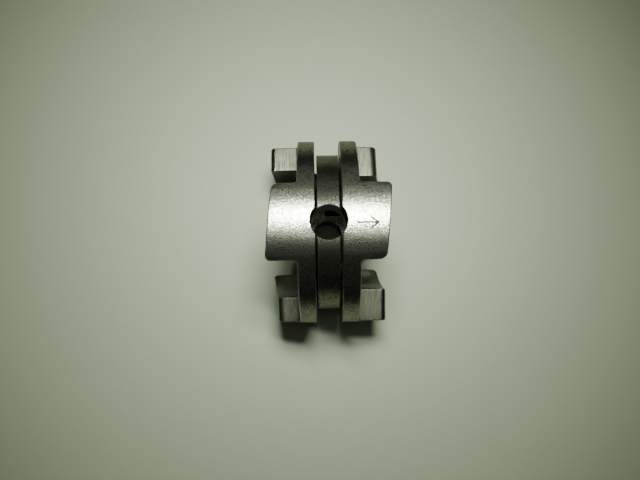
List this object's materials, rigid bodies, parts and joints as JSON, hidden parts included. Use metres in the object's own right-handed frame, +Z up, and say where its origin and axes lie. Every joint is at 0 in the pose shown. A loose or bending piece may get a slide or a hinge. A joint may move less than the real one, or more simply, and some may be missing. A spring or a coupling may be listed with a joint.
{
  "type": "oldham coupling",
  "caption": "Steel shaft coupling: flanged hubs with axial dogs on each side of a floating disc that slides on crossed tongues, with a radial cross hole.",
  "frame": {"origin": "on the coupling's axis, midway between the two hubs", "axes": "+X along the axis towards the right hub, +Z up through the cross hole and the top dogs, +Y to the back"},
  "size_m": [0.0216, 0.034, 0.034],
  "materials": {
    "hub_steel": "bead-blasted steel, machined and burnished on the edges",
    "disc_steel": "turned and tumbled steel, slightly darker"
  },
  "bodies": {
    "left_hub": {"left_hub": "hub_steel"},
    "centre_disc": {"centre_disc": "disc_steel"},
    "right_hub": {"right_hub": "hub_steel"}
  },
  "joints": [
    {"name": "left_slide", "type": "slide", "parent": "left_hub", "child": "centre_disc", "axis": [0, 0.7071, 0.7071], "range_m": [-0.0005, 0.0005]},
    {"name": "right_slide", "type": "slide", "parent": "centre_disc", "child": "right_hub", "axis": [0, -0.7071, 0.7071], "range_m": [-0.0005, 0.0005]}
  ]
}
